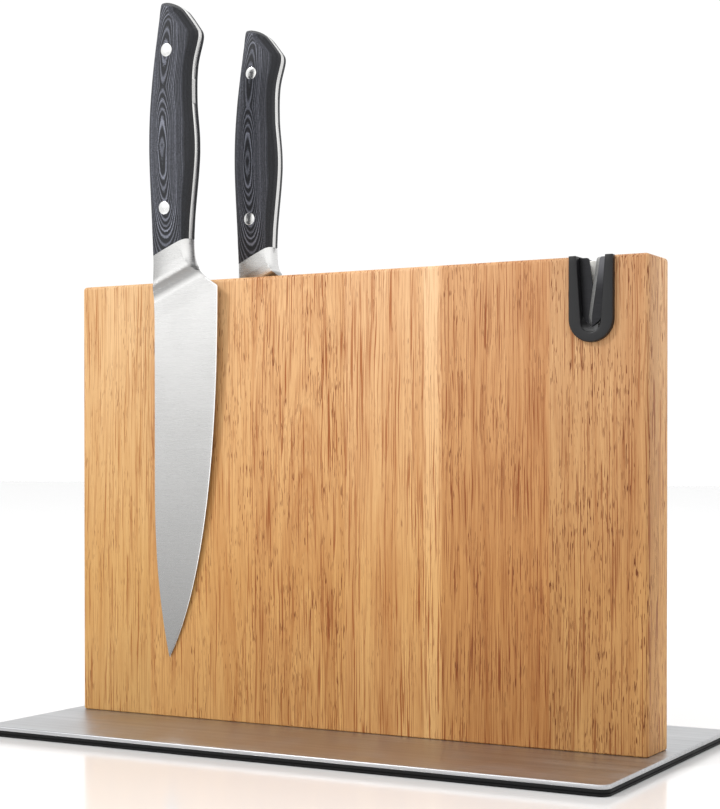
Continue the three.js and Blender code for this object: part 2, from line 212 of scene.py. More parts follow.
# ---- Materials ----


def srgb(r, g, b):
    """Linear colour from the 0-255 numbers of a screen."""
    shares = (r / 255, g / 255, b / 255)
    return tuple(c / 12.92 if c <= 0.04045 else ((c + 0.055) / 1.055) ** 2.4 for c in shares)


def scaled(colour, factor):
    """A colour times one number, or times a number for each channel."""
    factors = factor if isinstance(factor, tuple) else (factor,) * 3
    return tuple(min(1.0, c * k) for c, k in zip(colour, factors))


BLACK = (0.0, 0.0, 0.0)


class Nodes:
    """Short ways to add nodes to a shader tree."""

    def __init__(self, tree):
        self.tree = tree

    def node(self, kind, inputs, **settings):
        node = self.tree.nodes.new(kind)
        for key, value in settings.items():
            setattr(node, key, value)
        for key, value in inputs.items():
            self.put(node.inputs[key], value)
        return node

    def put(self, socket, value):
        if isinstance(value, bpy.types.NodeSocket):
            self.tree.links.new(value, socket)
        elif socket.type == "RGBA":
            socket.default_value = (*value, 1.0)
        else:
            socket.default_value = value

    def math(self, operation, a, b=0.0, clamp=False):
        return self.node("ShaderNodeMath", {0: a, 1: b}, operation=operation, use_clamp=clamp).outputs[0]

    def plus(self, a, b, clamp=False):
        return self.math("ADD", a, b, clamp)

    def minus(self, a, b):
        return self.math("SUBTRACT", a, b)

    def times(self, a, b, clamp=False):
        return self.math("MULTIPLY", a, b, clamp)

    def over(self, a, b):
        return self.math("DIVIDE", a, b)

    def swing(self, noise, amount):
        """Noise moved to swing about zero, times an amount."""
        return self.times(self.minus(noise, 0.5), amount)

    def vector(self, operation, a, b):
        return self.node("ShaderNodeVectorMath", {0: a, 1: b}, operation=operation).outputs[0]

    def join(self, x, y, z):
        return self.node("ShaderNodeCombineXYZ", {0: x, 1: y, 2: z}).outputs[0]

    def split(self, vector):
        return self.node("ShaderNodeSeparateXYZ", {0: vector}).outputs

    def noise(self, at, scale=1.0, detail=2.0, roughness=0.5):
        inputs = {"Vector": at, "Scale": scale, "Detail": detail, "Roughness": roughness}
        return self.node("ShaderNodeTexNoise", inputs).outputs[0]

    def remap(self, value, low, high, to_low=0.0, to_high=1.0, smooth=True):
        node = self.node(
            "ShaderNodeMapRange",
            {0: value, 1: low, 2: high, 3: to_low, 4: to_high},
            clamp=True,
            interpolation_type="SMOOTHSTEP" if smooth else "LINEAR",
        )
        return node.outputs[0]

    def mix(self, factor, a, b, blend="MIX"):
        node = self.tree.nodes.new("ShaderNodeMix")
        node.data_type, node.blend_type = "RGBA", blend
        self.put(node.inputs[0], factor)
        self.put(node.inputs[6], a)
        self.put(node.inputs[7], b)
        return node.outputs[2]

    def ramp(self, factor, stops):
        node = self.node("ShaderNodeValToRGB", {0: factor})
        elements = node.color_ramp.elements
        while len(elements) < len(stops):
            elements.new(0.5)
        for element, (position, colour) in zip(elements, stops):
            element.position, element.color = position, (*colour, 1.0)
        return node.outputs[0]

    def bump(self, height, distance, strength):
        inputs = {"Height": height, "Distance": distance * MM, "Strength": strength}
        return self.node("ShaderNodeBump", inputs).outputs[0]


class Finish(Nodes):
    """One material: a Principled shader and the nodes that feed it. Places are the object's own, in
    millimetres."""

    def __init__(self, name):
        self.material = bpy.data.materials.new(name)
        self.material.use_nodes = True
        super().__init__(self.material.node_tree)
        self.tree.nodes.clear()
        self.shader = self.tree.nodes.new("ShaderNodeBsdfPrincipled")
        output = self.tree.nodes.new("ShaderNodeOutputMaterial")
        self.tree.links.new(self.shader.outputs["BSDF"], output.inputs["Surface"])
        place = self.tree.nodes.new("ShaderNodeTexCoord").outputs["Object"]
        self.place = self.vector("MULTIPLY", place, (1 / MM,) * 3)
        self.x, self.y, self.z = self.split(self.place)

    def set(self, **values):
        for key, value in values.items():
            self.put(self.shader.inputs[key.replace("_", " ")], value)
        return self.material

    def streaks(self, reach, seed, detail=2.0, roughness=0.5):
        """Noise whose blobs have the given reach along x, y and z."""
        spread = self.vector("MULTIPLY", self.place, tuple(1 / r for r in reach))
        at = self.vector("ADD", spread, (seed, 1.7 * seed, 0.6 * seed))
        return self.noise(at, detail=detail, roughness=roughness)


def wood(name, seed, pith, light, dark, lines=1.0, pores=1.0, bands=1.0, pale=None, slope=0.0, level=0.0):
    """Solid wood. pith is the (x, y) of the growth rings' centre. slope moves it in y as z rises from
    level, which draws pointed arches on the faces. pale is the (x, half width) of a paler streak."""
    f = Finish(name)
    drift = f.swing(f.streaks((34, 34, 150), seed), 5.0)
    waver = f.swing(f.streaks((6, 6, 38), seed + 3), 1.5)
    shift = f.plus(drift, waver)
    across = f.plus(f.minus(f.x, pith[0]), shift)
    sunk = f.times(f.minus(f.z, level), slope)
    deep = f.plus(f.minus(f.y, pith[1]), sunk)
    ring = f.math("SQRT", f.plus(f.times(across, across), f.times(deep, deep)))

    broad = f.noise(f.join(f.over(ring, 6.0), seed, f.over(f.z, 420)))
    fine = f.noise(f.join(ring, seed + 4, f.over(f.z, 90)), detail=3.0, roughness=0.6)
    fibre_at = f.join(f.over(across, 0.34), f.over(f.y, 0.34), f.over(f.z, 26))
    fibre = f.noise(fibre_at, detail=3.0, roughness=0.6)
    cloud = f.streaks((20, 20, 55), seed + 9)
    tone = f.plus(0.56, f.swing(broad, 0.85 * bands))
    tone = f.plus(tone, f.swing(fine, 0.9 * lines))
    tone = f.plus(tone, f.swing(fibre, 0.9))
    tone = f.plus(tone, f.swing(cloud, 0.4), clamp=True)
    middle = tuple(0.55 * a + 0.45 * b for a, b in zip(light, dark))
    colour = f.ramp(tone, ((0.1, dark), (0.5, middle), (0.9, light)))

    if pale:
        streak_x, half_width = pale
        off = f.math("ABSOLUTE", f.plus(f.minus(f.x, streak_x), f.times(shift, 0.35)))
        strip = f.remap(off, half_width * 0.6, half_width * 1.3, 0.75, 0.0)
        colour = f.mix(strip, colour, scaled(light, (1.04, 1.06, 1.12)))

    # Vessel lines: thin brown threads along the grain, a few centimetres long.
    thread_at = f.join(f.over(across, 0.5), f.over(f.y, 2.0), f.over(f.z, 42))
    thread = f.noise(f.vector("ADD", thread_at, (seed, 2 * seed, seed)), detail=1.0, roughness=0.4)
    gather = f.remap(f.streaks((6, 6, 60), seed + 17), 0.36, 0.60, 0.4, 1.0)
    threads = f.times(f.times(f.remap(thread, 0.56, 0.61), gather), 1.05 * lines, clamp=True)
    # Open pores: short dark dashes, in patches.
    dash_at = f.join(f.over(across, 0.44), f.over(f.y, 0.44), f.over(f.z, 6.4))
    dash = f.noise(f.vector("ADD", dash_at, (seed, 0, 2 * seed)), detail=1.0, roughness=0.4)
    patch = f.remap(f.streaks((8, 8, 30), seed + 13), 0.38, 0.62, 0.12, 1.0)
    dashes = f.times(f.times(f.remap(dash, 0.6, 0.67), patch), 1.05 * pores, clamp=True)
    colour = f.mix(threads, colour, scaled(dark, (0.72, 0.53, 0.34)))
    colour = f.mix(dashes, colour, scaled(dark, (0.44, 0.29, 0.19)))
    # Painted light: the board is darker and more saturated towards the bottom and paler towards the top, as
    # the light falls off downwards.
    painted_light_falloff = f.mix(f.remap(f.z, 80, 236, smooth=False), (0.80, 0.78, 0.60), (0.96, 1.05, 1.20))
    colour = f.mix(1.0, colour, painted_light_falloff, "MULTIPLY")

    rough = f.plus(f.remap(fibre, 0.3, 0.7, 0.46, 0.58), f.times(dashes, 0.2))
    relief = f.minus(f.times(fibre, 0.3), f.plus(dashes, f.times(threads, 0.5)))
    normal = f.bump(relief, 0.05, 0.5)
    return f.set(Base_Color=colour, Roughness=rough, Normal=normal, Specular_IOR_Level=0.35)


def brushed(name, colour, along, roughness, spread, contrast, relief, reach, seed, shade=None):
    """Metal with fine lines along one axis of the object. spread is how much the roughness varies, reach the
    length and width of a line. shade is (z, z, factor), painted light: upwards from the first z to the
    second, the metal changes to its colour times the factor."""
    f = Finish(name)
    length, width = reach
    size = [width] * 3
    size["xyz".index(along)] = length
    lines = f.streaks(tuple(size), seed, 3.0, 0.65)
    coarse = f.streaks(tuple(4.5 * s for s in size), seed + 5)
    smear = f.streaks((24, 24, 24), seed + 8, 3.0, 0.55)
    value = f.plus(f.times(lines, 0.6), f.times(coarse, 0.4))
    tone = f.mix(f.remap(value, 0.3, 0.7), scaled(colour, 1 - contrast), scaled(colour, 1 + contrast))
    # Painted light: upwards the metal changes to its colour times the factor.
    if shade:
        low, high, factor = shade
        tone = f.mix(f.remap(f.z, low, high), tone, scaled(colour, factor))
    rough = f.remap(lines, 0.3, 0.7, roughness - spread / 2, roughness + spread / 2)
    rough = f.plus(rough, f.remap(smear, 0.3, 0.7, -0.03, 0.03))
    return f.set(Base_Color=tone, Metallic=1.0, Roughness=rough, Normal=f.bump(value, relief, 0.5))


def blade_finish(name):
    """Satin steel ground across the blade, with painted shade that darkens it towards the tip."""
    f = Finish(name)
    lines = f.streaks((26, 26, 0.16), 5.0, 3.0, 0.7)
    coarse = f.streaks((60, 60, 1.6), 7.0, 3.0, 0.6)
    smear = f.streaks((30, 30, 42), 9.0, 3.0, 0.55)
    # Painted shade: the steel grows darker from the heel down to the tip.
    height = f.math("POWER", f.remap(f.z, 0.0, 178.0, smooth=False), 1.3)
    painted_shade = f.remap(height, 0.0, 1.0, 0.35, 0.93, smooth=False)
    # How far a point lies straight below the joint of bolster and scales.
    joint = f.plus(JOINT["z"] - JOINT["slope"] * JOINT["x"], f.times(f.x, JOINT["slope"]))
    below = f.minus(joint, f.z)
    # Painted shade: the hollow between bolster and blade is darker, and so is the spine's side of the
    # bolster.
    hollow_shade = f.times(f.remap(below, 13.6, 15.6), f.remap(below, 18.5, 22.5, 1.0, 0.0))
    painted_shade = f.times(painted_shade, f.minus(1.0, f.times(hollow_shade, 0.55)))
    bolster = f.remap(f.x, 1.0, 17.0, 0.62, 0.95)
    painted_shade = f.times(painted_shade, f.remap(below, 11.5, 13.6, bolster, 1.0))
    value = f.plus(f.times(lines, 0.6), f.times(coarse, 0.4))
    level = f.times(painted_shade, f.remap(value, 0.3, 0.7, 0.965, 1.0))
    level = f.times(level, f.remap(smear, 0.3, 0.7, 0.97, 1.0))
    tone = f.mix(level, BLACK, (0.80, 0.795, 0.785))
    rough = f.plus(f.remap(lines, 0.3, 0.7, 0.25, 0.31), f.remap(smear, 0.3, 0.7, -0.02, 0.02))
    return f.set(Base_Color=tone, Metallic=1.0, Roughness=rough, Normal=f.bump(value, 0.004, 0.4))


def moulded(name, colour, roughness, grain, relief, gloss):
    """Plastic or rubber with a fine eroded texture."""
    f = Finish(name)
    fine = f.noise(f.place, scale=1 / grain, detail=3.0, roughness=0.6)
    wide = f.noise(f.place, scale=1 / 14, detail=3.0, roughness=0.55)
    tone = f.mix(f.remap(wide, 0.3, 0.7), scaled(colour, 0.88), scaled(colour, 1.12))
    tone = f.mix(f.remap(fine, 0.45, 0.75, 0.0, 0.35), tone, scaled(colour, 1.6))
    rough = f.remap(fine, 0.3, 0.7, roughness - 0.06, roughness + 0.06)
    rough = f.plus(rough, f.remap(wide, 0.3, 0.7, -0.04, 0.04))
    return f.set(Base_Color=tone, Roughness=rough, Normal=f.bump(fine, relief, 0.7), Specular_IOR_Level=gloss)


def ceramic(name):
    f = Finish(name)
    grain = f.noise(f.place, scale=2.2, detail=4.0, roughness=0.7)
    stain = f.streaks((3, 3, 9), 4.0)
    tone = f.mix(f.remap(stain, 0.4, 0.75, 0.0, 0.5), srgb(243, 241, 235), srgb(214, 211, 203))
    rough = f.remap(grain, 0.3, 0.7, 0.3, 0.5)
    return f.set(Base_Color=tone, Roughness=rough, Normal=f.bump(grain, 0.02, 0.5))


def laminate(name, seed):
    """Black layered handle material. Its sheets lie parallel to the tang, so the crowned faces show them
    as contour lines. The object's y runs across the knife."""
    f = Finish(name)
    weft = f.streaks((0.5, 0.5, 0.15), seed, 2.0, 0.6)
    warp = f.streaks((0.15, 0.5, 0.5), seed + 2, 2.0, 0.6)
    weave = f.plus(f.times(weft, 0.5), f.times(warp, 0.5))
    buckle = f.streaks((22, 22, 55), seed + 5)
    depth = f.plus(f.math("ABSOLUTE", f.y), f.swing(weave, 0.14))
    depth = f.plus(depth, f.swing(buckle, 0.35))
    # The outermost sheets are thinner.
    extra = f.remap(depth, 6.9, 7.8, 0.0, 4.0, smooth=False)
    sheets = f.plus(f.over(depth, LAYER), extra)
    layer = f.math("FRACT", sheets)
    line = f.times(f.remap(layer, 0.5, 0.7), f.remap(layer, 0.84, 1.0, 1.0, 0.0))
    number = f.math("FLOOR", sheets)
    sheet = f.node("ShaderNodeTexWhiteNoise", {"W": number}, noise_dimensions="1D").outputs[0]
    strength = f.times(line, f.remap(sheet, 0.0, 1.0, 0.3, 1.0, smooth=False))
    strength = f.times(strength, f.remap(weave, 0.36, 0.56, 0.25, 1.0))
    # The flank beside the flat face is darker and hardly shows its lines.
    face = f.remap(depth, 5.2, 6.6)
    strength = f.times(strength, f.remap(face, 0.0, 1.0, 0.2, 1.0))
    base = f.mix(f.remap(weave, 0.36, 0.64), srgb(7, 8, 10), srgb(46, 47, 52))
    base = f.mix(face, f.mix(0.6, base, BLACK), base)
    tone = f.mix(strength, base, srgb(146, 149, 163))
    rough = f.remap(weave, 0.3, 0.7, 0.42, 0.58)
    return f.set(Base_Color=tone, Roughness=rough, Normal=f.bump(weave, 0.05, 0.6), Specular_IOR_Level=0.28)


def floor_finish(name):
    f = Finish(name)
    dust = f.noise(f.place, scale=0.01)
    tone = f.mix(dust, (0.84, 0.84, 0.84), (0.87, 0.87, 0.87))
    return f.set(Base_Color=tone, Roughness=0.14, Specular_IOR_Level=1.0)


# Near-black steel: its darkness is partly the steel's own and partly painted shade inside the housing.
SHADED_DARK_STEEL = ((0.03, 0.03, 0.032), "x", 0.40, 0.12, 0.2, 0.02, (6, 0.25), 3.0)

finishes = {
    "plate": brushed("plate_steel", (0.47, 0.475, 0.485), "x", 0.38, 0.14, 0.22, 0.02, (80, 0.4), 2.0),
    "pad": moulded("pad_rubber", srgb(13, 13, 14), 0.62, 0.5, 0.05, 0.2),
    "housing": moulded("sharpener_plastic", srgb(15, 15, 17), 0.38, 0.4, 0.03, 0.4),
    "sharpening": brushed("sharpening_steel", *SHADED_DARK_STEEL),
    # Painted light: the right-hand plate grows lighter towards its top.
    "sharpening_painted_light": brushed("sharpening_steel_painted_light", *SHADED_DARK_STEEL, shade=(-17, -1, 4.5)),
    "ground": brushed("ground_bevel", (0.45, 0.45, 0.44), "x", 0.45, 0.12, 0.15, 0.02, (3, 0.2), 4.0),
    "ceramic": ceramic("rod_ceramic"),
    "blade": blade_finish("blade_steel"),
    "edge": brushed("cutting_edge", (0.93, 0.93, 0.92), "z", 0.34, 0.1, 0.04, 0.004, (20, 0.2), 9.0),
    "rivet": brushed("rivet_steel", (0.78, 0.78, 0.77), "z", 0.22, 0.08, 0.05, 0.01, (9, 0.3), 6.0),
    "screw": brushed("screw_steel", (0.55, 0.55, 0.55), "z", 0.3, 0.1, 0.1, 0.02, (9, 0.3), 7.0),
    "magnet": brushed("magnet_nickel", (0.62, 0.60, 0.56), "x", 0.25, 0.1, 0.06, 0.01, (20, 0.5), 8.0),
    "laminate_front": laminate("handle_laminate_front", 3.0),
    "laminate_rear": laminate("handle_laminate_rear", 11.0),
    "floor": floor_finish("floor"),
}

# ---- Base ----

# Pairs of inset and height up the pad's side, with a groove round its middle.
PAD_SIDE = [
    (0.5, 0.0), (0.12, 0.18), (0.0, 0.45), (0.0, 1.25), (0.5, 1.4),
    (0.5, 1.75), (0.0, 1.9), (0.0, 2.8), (0.15, 3.08), (0.4, 3.2),
]


def screw_cutter(x, y, clearance):
    """The clearance hole of one base screw."""
    head, shank, tip = (BASE_SCREW[k] + clearance for k in ("head", "shank", "tip"))
    seat, top = BASE["pad"], BASE["top"]
    profile = [(0, seat - clearance), (head, seat - clearance), (head, seat)]
    profile += [(shank, top), (shank, tip - 2), (0, tip)]
    verts, faces = lathe(profile, 32)
    return moved(verts, Matrix.Translation((x, y, 0))), faces


def build_base():
    width, depth, corner, pad, top = (BASE[k] for k in ("width", "depth", "corner", "pad", "top"))
    lip = edge_steps(0.6, 5)
    under = edge_steps(0.25, 2)
    profile = [(i, pad + h) for i, h in under] + [(i, top - h) for i, h in reversed(lip)]
    plate = new_piece("base_plate_sheet", *slab(width, depth, corner, profile, 10), [finishes["plate"]])
    cutter = new_piece("cutter", *joined([screw_cutter(x, y, GAP) for x, y in SCREWS]), [])
    carve(plate, [cutter])
    discard(cutter)
    finish_piece(plate, "block", ["base_plate"])

    rubber = new_piece("base_pad_rubber", *slab(width, depth, corner, PAD_SIDE, 10), [finishes["pad"]])
    finish_piece(rubber, "block", ["base_pad"])


# ---- Board ----


def stave_look(light, dark, pith, **options):
    """The looks of one stave, as options of wood()."""
    return {"light": srgb(*light), "dark": srgb(*dark), "pith": pith, **options}


# The front staves are darker towards the right, partly by their own wood and partly by painted shade away
# from the light on the left.
FRONT_LOOKS = [
    stave_look((228, 182, 128), (196, 138, 78), (-176, 60), lines=0.8, pores=0.6, bands=0.6),
    stave_look(
        (232, 182, 126), (194, 130, 72), (-96, 34), lines=0.8, pores=0.9, bands=0.8, slope=-0.05, level=120
    ),
    stave_look((230, 178, 122), (182, 116, 60), (-19, -3), bands=1.1, slope=-0.085, level=84),
    stave_look((234, 184, 130), (190, 125, 72), (-58, 90), lines=0.9, pores=0.5, pale=(51.5, 4.5)),
    stave_look((214, 158, 104), (168, 102, 50), (152, 80), lines=1.15, pores=0.8, bands=0.8),
    stave_look((216, 166, 114), (168, 106, 56), (190, 46), lines=0.8, pores=1.6, bands=0.9),
]
REAR_LOOKS = [
    stave_look((218, 168, 114), (176, 114, 62), (-170, -60), pores=1.2),
    stave_look((232, 182, 126), (194, 130, 74), (-84, -30), slope=0.06, level=70),
    stave_look((224, 172, 118), (184, 120, 66), (-100, -80), pale=(-40, 4.0)),
    stave_look((234, 186, 132), (196, 134, 80), (22, -12), slope=0.07, level=150, bands=1.1),
    stave_look((218, 164, 110), (172, 108, 56), (140, -70), lines=1.15),
    stave_look((230, 180, 126), (190, 128, 74), (196, -40), pores=1.1),
]
HALVES = (("front", -1, FRONT_JOINTS, FRONT_LOOKS), ("rear", 1, REAR_JOINTS, REAR_LOOKS))


def clip(work, point, normal):
    """Removes what lies beyond a plane and closes the cut."""
    geometry = work.verts[:] + work.edges[:] + work.faces[:]
    cut = bmesh.ops.bisect_plane(
        work, geom=geometry, dist=1e-6, plane_co=Vector(point) * MM, plane_no=normal, clear_outer=True
    )
    edges = [e for e in cut["geom_cut"] if isinstance(e, bmesh.types.BMEdge)]
    if edges:
        bmesh.ops.edgeloop_fill(work, edges=edges)


def u_outline(half, centre, rise, steps=24):
    """A U in (x, z) whose legs end at the height of rise."""
    angles = [math.pi * i / steps for i in range(steps + 1)]
    bottom = [(-half * math.cos(a), centre - half * math.sin(a)) for a in angles]
    return [(-half, rise), *bottom, (half, rise)]


def upright_prism(outline, y):
    """An outline in (x, z) drawn from the first y to the second."""
    return loft([[(px, depth, pz) for px, pz in outline] for depth in y])


def board_cutter(side):
    """The magnet pockets of one half of the board, its screw holes and the sharpener's notch."""
    parts = []
    for x in MAGNETS["x"]:
        for z in MAGNETS["z"]:
            half, tall = MAGNETS["length"] / 2 + GAP, MAGNETS["height"] / 2 + GAP
            y = sorted((side * (HALF - MAGNETS["wall"]), -side))
            parts.append(box_mesh((x - half, x + half), y, (z - tall, z + tall)))
    parts += [screw_cutter(x, y, GAP) for x, y in SCREWS if y * side > 0]
    notch = u_outline(SHARPENER["body"] + 0.05, SHARPENER["centre"], 5)
    verts, faces = upright_prism(notch, (-20, 20))
    place = Matrix.Translation((SHARPENER["x"], 0, BOARD["top"]))
    parts.append((moved(verts, place), faces))
    return new_piece("cutter", *joined(parts), [])


def build_board():
    """Each stave is the whole board, cut down to its own part and then drilled."""
    top_edge = edge_steps(BOARD["edge"], 6)
    foot_edge = edge_steps(1.1, 3)
    profile = [(i, BOARD["low"] + h) for i, h in foot_edge]
    profile += [(i, BOARD["top"] - h) for i, h in reversed(top_edge)]
    verts, faces = slab(BOARD["width"], BOARD["thick"], BOARD["corner"], profile)
    for face_name, side, joints, looks in HALVES:
        cutter = board_cutter(side)
        ends = (-BOARD["width"] / 2 - 1, *joints, BOARD["width"] / 2 + 1)
        for index, options in enumerate(looks):
            node = f"{face_name}_stave_{index + 1}"
            look = wood(f"wood_{node}", 7.3 * (index + 1) + 31 * side, **options)
            stave = new_piece(f"{node}_wood", verts, faces, [look])
            work = bmesh.new()
            work.from_mesh(stave.data)
            clip(work, (0, 0, 0), (0, -side, 0))
            clip(work, (ends[index], 0, 0), (-1, 0, 0))
            clip(work, (ends[index + 1], 0, 0), (1, 0, 0))
            work.to_mesh(stave.data)
            work.free()
            carve(stave, [cutter])
            finish_piece(stave, "block", [node], 28)
        discard(cutter)


# ---- Sharpener ----

SHARPENER_PLACE = Matrix.Translation((SHARPENER["x"] * MM, 0, BOARD["top"] * MM))
LEG_STEPS, ARC_STEPS = 8, 32
CHANNEL_EDGE, FLANGE_EDGE = 0.7, 1.0


def u_track(half_top, half_low, centre):
    """Points (x, z) down one leg of a U, round its half circle and up the other."""
    points = []
    for i in range(LEG_STEPS):
        t = i / LEG_STEPS
        points.append((-(half_top + (half_low - half_top) * t), centre * t))
    for i in range(ARC_STEPS + 1):
        a = math.pi * i / ARC_STEPS
        points.append((-half_low * math.cos(a), centre - half_low * math.sin(a)))
    return points + [(-x, z) for x, z in points[:LEG_STEPS][::-1]]


def stepped(origin, out, distance):
    """The point that lies so far from the origin in the direction out."""
    return origin[0] + out[0] * distance, origin[1] + out[1] * distance


def housing_rings(side):
    """Cross-sections of a housing along its U, each from the channel's wall round the face to the back."""
    flange = u_track(SHARPENER["flange"], SHARPENER["flange"], SHARPENER["centre"])
    body = u_track(SHARPENER["body"], SHARPENER["body"], SHARPENER["centre"])
    channel = u_track(CHANNEL["top"], CHANNEL["bottom"], CHANNEL["centre"])
    front = SHARPENER["face"]
    channel_edge, flange_edge = edge_steps(CHANNEL_EDGE, 4), edge_steps(FLANGE_EDGE, 5)
    rings = []
    for outer, seat, inner in zip(flange, body, channel):
        across = math.hypot(outer[0] - inner[0], outer[1] - inner[1])
        out = ((outer[0] - inner[0]) / across, (outer[1] - inner[1]) / across)
        section = [(*stepped(inner, out, drop), front - inset) for inset, drop in channel_edge]
        section.append((*stepped(inner, out, across / 2), front))
        section += [(*stepped(inner, out, across - inset), front - drop) for inset, drop in flange_edge]
        # The flange rests on the board's face, and the body behind it reaches the board's middle.
        rest = HALF + 0.02
        section += [(*outer, rest), (*seat, rest), (*seat, 0.0), (*inner, 0.0), (*inner, HALF)]
        rings.append([(x, side * y, z) for x, z, y in section])
    return rings


def end_rounded(rings, radius=0.5, steps=3):
    """Adds rings that round a swept piece's two flat ends, which face up."""
    def shrunk(ring, inset, drop):
        low = [min(p[k] for p in ring) for k in (0, 1)]
        high = [max(p[k] for p in ring) for k in (0, 1)]
        points = []
        for p in ring:
            x = min(max(p[0], low[0] + inset), high[0] - inset)
            y = min(max(p[1], low[1] + inset), high[1] - inset)
            points.append((x, y, p[2] - drop))
        return points

    first, last = rings[0], rings[-1]
    sides = edge_steps(radius, steps)[1:]
    lead = [shrunk(first, radius, 0)] + [shrunk(first, i, d) for i, d in sides]
    tail = [shrunk(last, i, d) for i, d in reversed(sides)] + [shrunk(last, radius, 0)]
    return lead + rings[1:-1] + tail


PLATE = {
    "top": -0.8, "low": -28.0, "toe": -32.6, "edge_top": 2.0, "edge_low": -1.8, "corner": 1.3,
    "seat": 1.0, "front": -15.2, "thick": 2.0, "bevel_wide": 2.0, "bevel_deep": 1.3,
}
PLATE_SIDES = ((1, "right", "sharpening_painted_light"), (-1, "left", "sharpening"))
# How many points of a plate's outline lie on its working edge.
EDGE_POINTS = 21


def plate_outline(grow=0.0, ground=0.0):
    """The right-hand plate in (x, z). ground moves its working edge back, for the ground bevel."""
    top, low, toe = PLATE["top"] + grow, PLATE["low"], PLATE["toe"] - grow
    edge_top, edge_low = PLATE["edge_top"] - grow + ground, PLATE["edge_low"] - grow + ground
    radius = PLATE["corner"]
    points = [(edge_top + inset, top - drop) for inset, drop in edge_steps(radius, 5)]
    for i in range(1, 9):
        t = i / 8
        points.append((edge_top + (edge_low - edge_top) * t, top - radius + (low - top + radius) * t))
    for i in range(1, 8):
        t = i / 7
        a, b, c = (1 - t) ** 2, 2 * t * (1 - t), t * t
        points.append((a * edge_low + b * edge_low + c * 0.6, a * low + b * toe + c * toe))
    right_low, right_top = (CHANNEL[k] + PLATE["seat"] + grow for k in ("bottom", "top"))
    return points + [(3.9 + grow, -30.0 - grow), (right_low, -26.0), (right_top, top)]


def plate_front(side):
    """The two plates lie one behind the other, the right-hand one in front."""
    return PLATE["front"] if side > 0 else PLATE["front"] + PLATE["thick"] + GAP


def sharpening_plate(side, word, finish):
    ground = plate_outline(ground=PLATE["bevel_wide"])
    full = plate_outline()
    ground[EDGE_POINTS:] = full[EDGE_POINTS:]
    thick, deep = PLATE["thick"], PLATE["bevel_deep"]
    bevel = [1 if i < EDGE_POINTS - 1 else 0 for i in range(len(full))]
    plain = [0] * len(full)
    if side > 0:
        marks, layers = bevel + plain, ((ground, 0.0), (full, deep), (full, thick))
    else:
        marks, layers = plain + bevel, ((full, 0.0), (full, thick - deep), (ground, thick))
    rings = [[(side * x, plate_front(side) + y, z) for x, z in points] for points, y in layers]
    steel = [finishes[finish], finishes["ground"]]
    node = f"sharpening_plate_{word}"
    piece = new_piece(f"{node}_steel", *loft(rings), steel, SHARPENER_PLACE, [*marks, 0, 0])
    finish_piece(piece, "block", [node], 20)


def plate_cutter(side):
    """The slot of one sharpening plate in the front housing."""
    outline = [(side * x, z) for x, z in plate_outline(grow=GAP)]
    front = plate_front(side)
    return upright_prism(outline, (front - GAP, front + PLATE["thick"] + GAP))


def rod_mesh(side, radius, grow=0.0):
    top, low = Vector(ROD["top"]), Vector(ROD["low"])
    top.x, low.x = side * top.x, side * low.x
    length = (low - top).length + 2 * grow
    half, bevel = length / 2, ROD["bevel"]
    profile = [(0, -half), (radius - bevel, -half), (radius, -half + bevel)]
    profile += [(radius, half - bevel), (radius - bevel, half), (0, half)]
    verts, faces = lathe(profile, 28)
    turn = (low - top).to_track_quat("Z", "Y").to_matrix().to_4x4()
    middle = (top + low) / 2 + Vector((0, side * ROD["y"], 0))
    return moved(verts, Matrix.Translation(middle) @ turn), faces


def screw_mesh(x, grow=0.0):
    """A housing screw that lies along y, with its domed head at the back."""
    head = [(0, 16.8 + 2 * grow), (0.9 + grow, 16.75 + 2 * grow), (1.5 + grow, 16.45 + grow)]
    neck = [(1.8 + grow, 16.0), (1.8 + grow, 15.4 - grow), (1.0 + grow, 15.4 - grow)]
    tip = [(1.0 + grow, -9.4), (0.4 + grow, -10 - grow), (0, -10 - grow)]
    verts, faces = lathe(head + neck + tip, 24)
    turn = Matrix.Rotation(math.radians(-90), 4, "X")
    return moved(verts, Matrix.Translation((x, 0, HOUSING_SCREW["z"])) @ turn), faces


def build_housing(side, word, own_cutters):
    node = f"sharpener_{word}_housing"
    shape = loft(end_rounded(housing_rings(side)))
    shell = new_piece(f"{node}_shell", *shape, [finishes["housing"]], SHARPENER_PLACE)
    holes = [screw_mesh(x, GAP) for x in (-HOUSING_SCREW["x"], HOUSING_SCREW["x"])]
    parts = [*own_cutters, rod_mesh(side, ROD["radius"] + GAP, GAP), *holes]
    cutters = [new_piece("cutter", *part, [], SHARPENER_PLACE) for part in parts]
    carve(shell, cutters)
    discard(*cutters)
    finish_piece(shell, "block", [node], 40)


def build_housing_screw(side, word):
    """The screw's head has a cross of two slots."""
    x, z = side * HOUSING_SCREW["x"], HOUSING_SCREW["z"]
    long, short = HOUSING_SCREW["slot"], HOUSING_SCREW["slot_half"]
    steel = [finishes["screw"]]
    screw = new_piece(f"sharpener_screw_{word}_steel", *screw_mesh(x), steel, SHARPENER_PLACE)
    slots = []
    for across, up in ((long, short), (short, long)):
        slot = box_mesh((x - across, x + across), (HOUSING_SCREW["slot_floor"], 18), (z - up, z + up))
        slots.append(new_piece("cutter", *slot, [], SHARPENER_PLACE))
    carve(screw, slots)
    discard(*slots)
    finish_piece(screw, "block", [f"sharpener_screw_{word}"])


def build_sharpener():
    build_housing(-1, "front", [plate_cutter(side) for side in (1, -1)])
    build_housing(1, "rear", [])
    for side, word, finish in PLATE_SIDES:
        sharpening_plate(side, word, finish)
    for side, word in ((-1, "left"), (1, "right")):
        rod = rod_mesh(side, ROD["radius"])
        core = new_piece(f"ceramic_rod_{word}_core", *rod, [finishes["ceramic"]], SHARPENER_PLACE)
        finish_piece(core, "block", [f"ceramic_rod_{word}"])
        build_housing_screw(side, word)


# ---- Knives: x across from the spine, y across the thickness, z up from the tip ----

